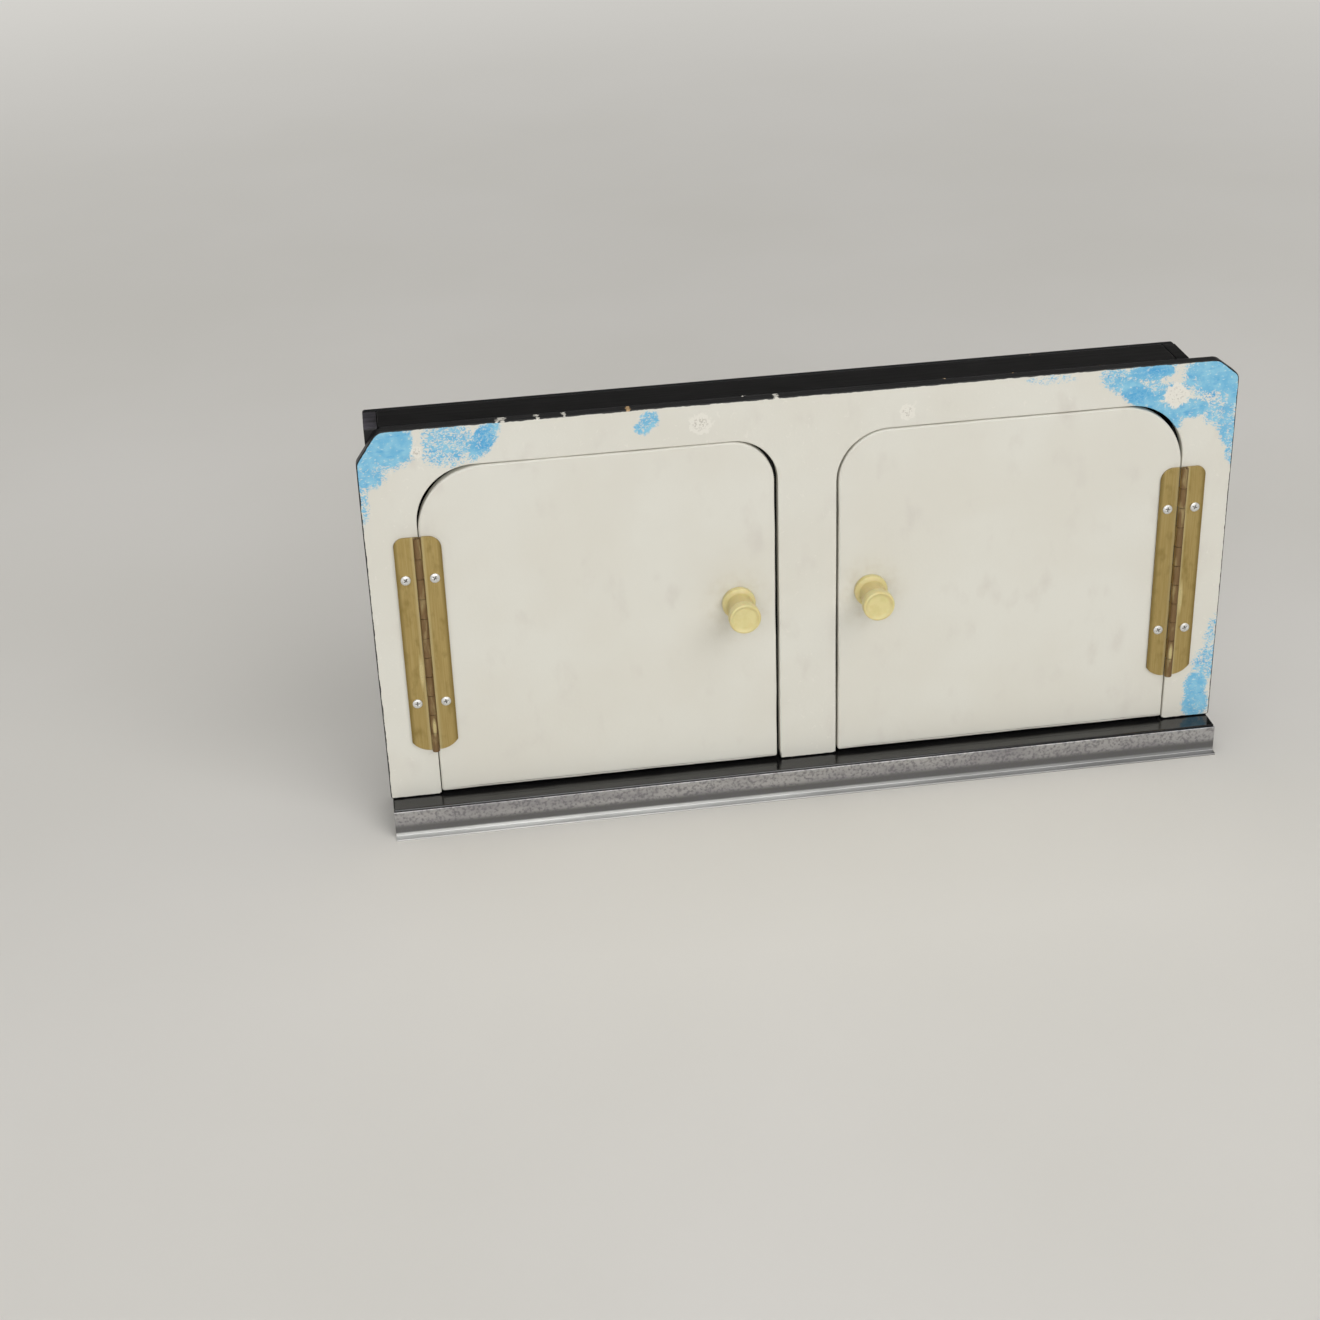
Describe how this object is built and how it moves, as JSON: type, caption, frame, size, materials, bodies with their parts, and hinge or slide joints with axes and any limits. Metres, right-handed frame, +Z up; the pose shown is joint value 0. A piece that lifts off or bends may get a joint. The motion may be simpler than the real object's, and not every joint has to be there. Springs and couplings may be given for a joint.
{
  "type": "miniature wardrobe",
  "caption": "Low miniature wardrobe: painted front with rounded corners, hinged doors with turned pull knobs, shallow black carcass and a base board edged with polished metal.",
  "frame": {"origin": "on the floor under the middle of the object's box, doors closed", "axes": "+X to the viewer's right along the width, +Y from the doors to the back, +Z up"},
  "size_m": [0.5, 0.0582, 0.2494],
  "materials": {
    "panel_paint": "cream satin paint on sheet, with sponged sky-blue patches near the edges",
    "door_paint": "cream satin paint on sheet",
    "black_paint": "black gloss paint, chipped at the edges",
    "polished_aluminium": "polished",
    "aged_brass": "dull, with wear on the knuckles",
    "plated_steel": "bright plated",
    "cream_plastic": "aged cream, glossy"
  },
  "bodies": {
    "cabinet": {"base_board": "black_paint", "base_trim": "polished_aluminium", "base_screw_1": "plated_steel", "base_screw_2": "plated_steel", "base_screw_3": "plated_steel", "base_screw_4": "plated_steel", "front_panel": "panel_paint", "panel_pin_1": "plated_steel", "panel_pin_2": "plated_steel", "panel_pin_3": "plated_steel", "panel_pin_4": "plated_steel", "carcass_back": "black_paint", "carcass_left_side": "black_paint", "carcass_right_side": "black_paint", "carcass_top": "black_paint", "door_stop": "black_paint", "left_magnet": "plated_steel", "right_magnet": "plated_steel", "left_hinge_fixed_leaf": "aged_brass", "left_hinge_pin": "aged_brass", "left_fixed_leaf_lower_screw": "plated_steel", "left_fixed_leaf_upper_screw": "plated_steel", "right_hinge_fixed_leaf": "aged_brass", "right_hinge_pin": "aged_brass", "right_fixed_leaf_lower_screw": "plated_steel", "right_fixed_leaf_upper_screw": "plated_steel"},
    "left_door": {"left_door_panel": "door_paint", "left_knob": "cream_plastic", "left_knob_screw": "plated_steel", "left_strike_plate": "plated_steel", "left_hinge_door_leaf": "aged_brass", "left_door_leaf_lower_screw": "plated_steel", "left_door_leaf_upper_screw": "plated_steel"},
    "right_door": {"right_door_panel": "door_paint", "right_knob": "cream_plastic", "right_knob_screw": "plated_steel", "right_strike_plate": "plated_steel", "right_hinge_door_leaf": "aged_brass", "right_door_leaf_lower_screw": "plated_steel", "right_door_leaf_upper_screw": "plated_steel"}
  },
  "joints": [
    {"name": "left_door_hinge", "type": "hinge", "parent": "cabinet", "child": "left_door", "pos_m": [-0.221, -0.00835, 0.0494], "axis": [0, 0, -1], "range_deg": [0, 170]},
    {"name": "right_door_hinge", "type": "hinge", "parent": "cabinet", "child": "right_door", "pos_m": [0.221, -0.00835, 0.0494], "axis": [0, 0, 1], "range_deg": [0, 170]}
  ]
}
